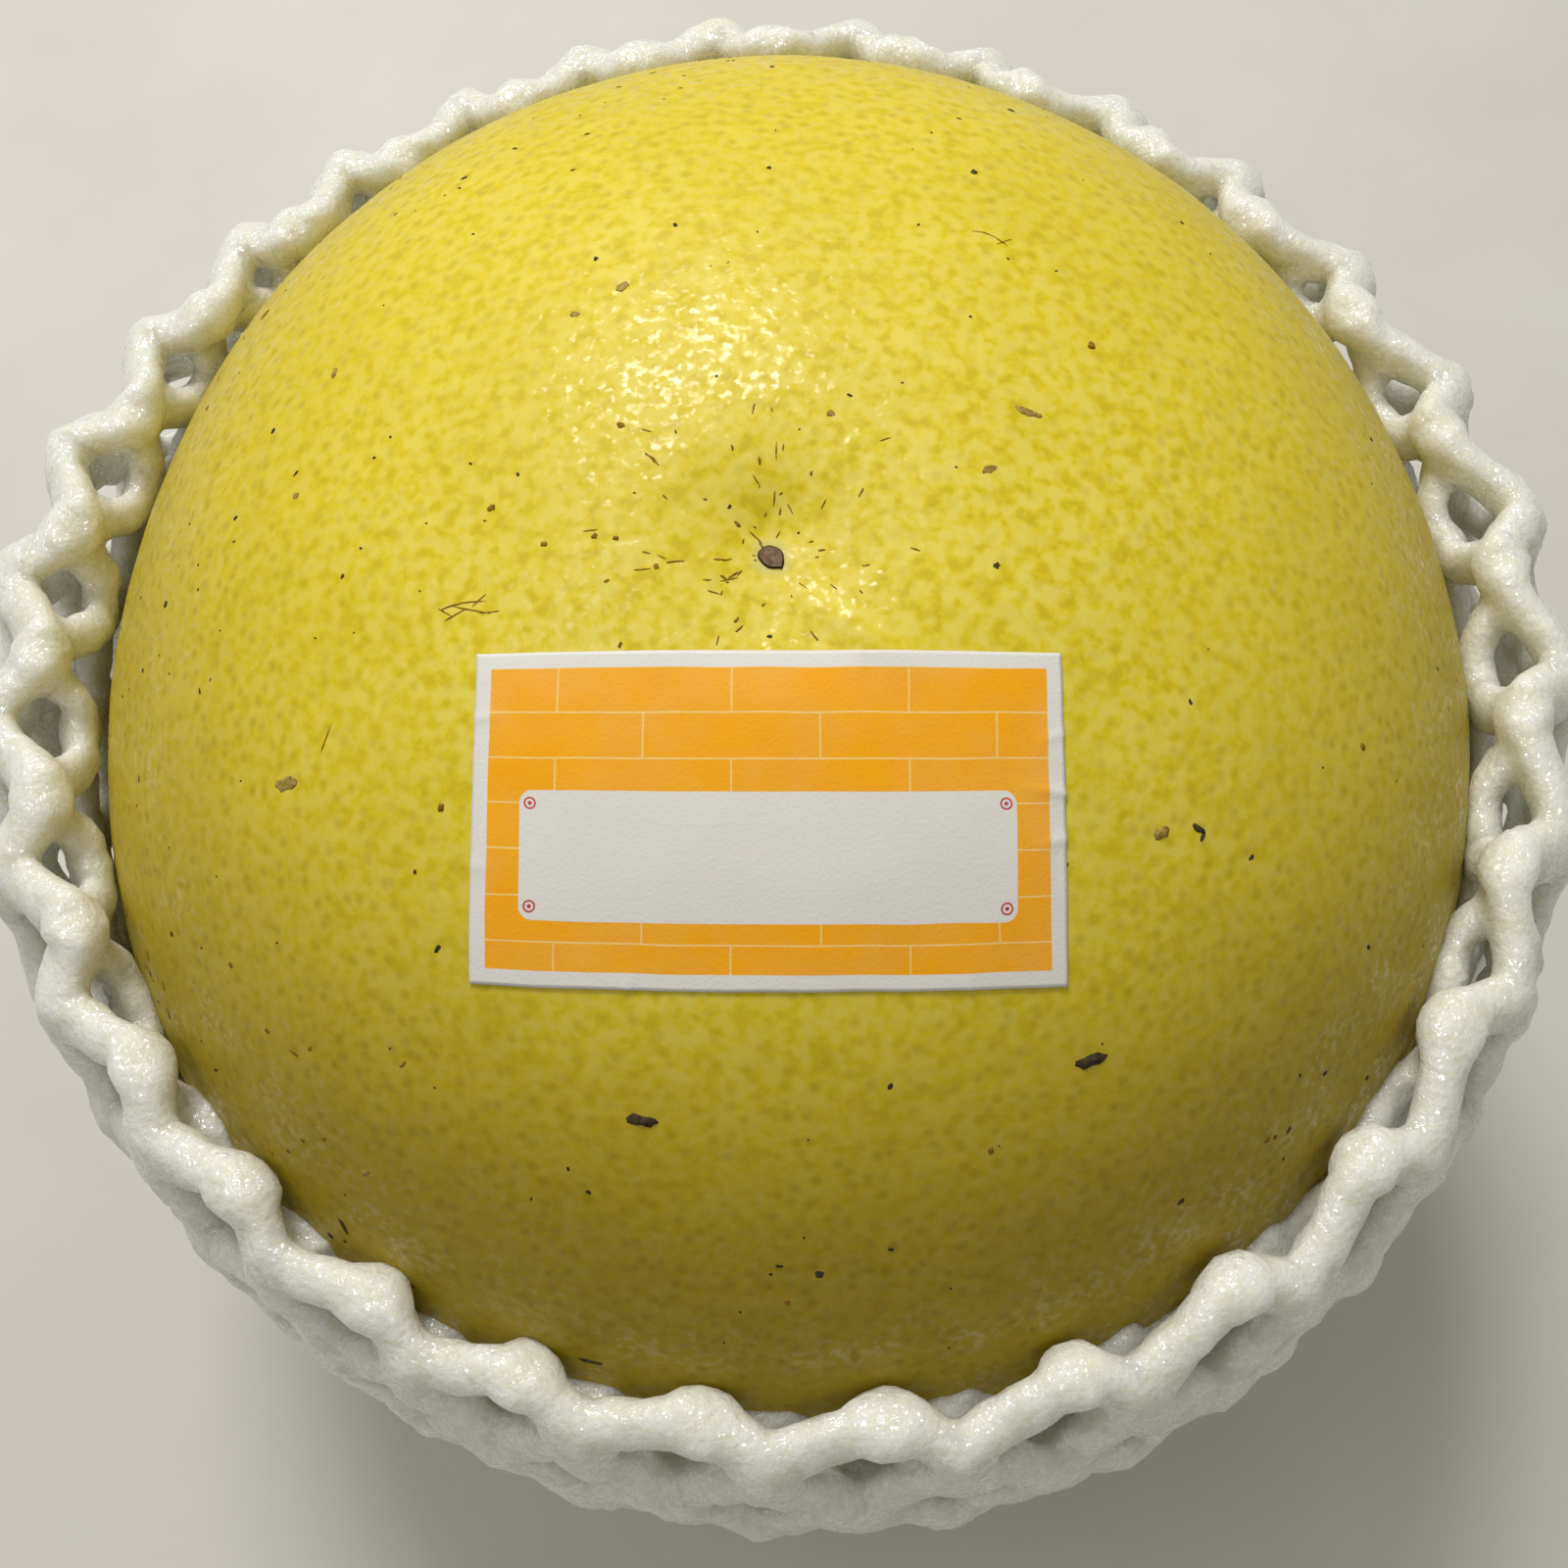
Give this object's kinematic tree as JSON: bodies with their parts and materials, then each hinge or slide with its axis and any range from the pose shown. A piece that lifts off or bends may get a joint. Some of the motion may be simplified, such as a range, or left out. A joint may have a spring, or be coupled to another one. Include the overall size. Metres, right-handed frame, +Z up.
{
  "type": "pomelo in a foam net cap",
  "caption": "Round yellow pomelo, blossom end up, with a paper label on its skin, seated in a white double-layer foam net cap that stands on a flat spot.",
  "frame": {"origin": "middle of the flat spot that the net cap stands on", "axes": "+Z up, through the middle of the net cap; the fruit's blossom end leans a little towards -Y, where the label is; +X to the right of the label"},
  "size_m": [0.1447, 0.1448, 0.1191],
  "materials": {
    "peel": "waxy citrus peel, dimpled with oil glands, satin",
    "paper": "coated label paper with a plain printed panel, satin",
    "foam": "expanded polyethylene foam, pearly and slightly translucent"
  },
  "bodies": {
    "root": {"fruit": "peel", "label": "paper", "foam_net": "foam"}
  },
  "joints": []
}
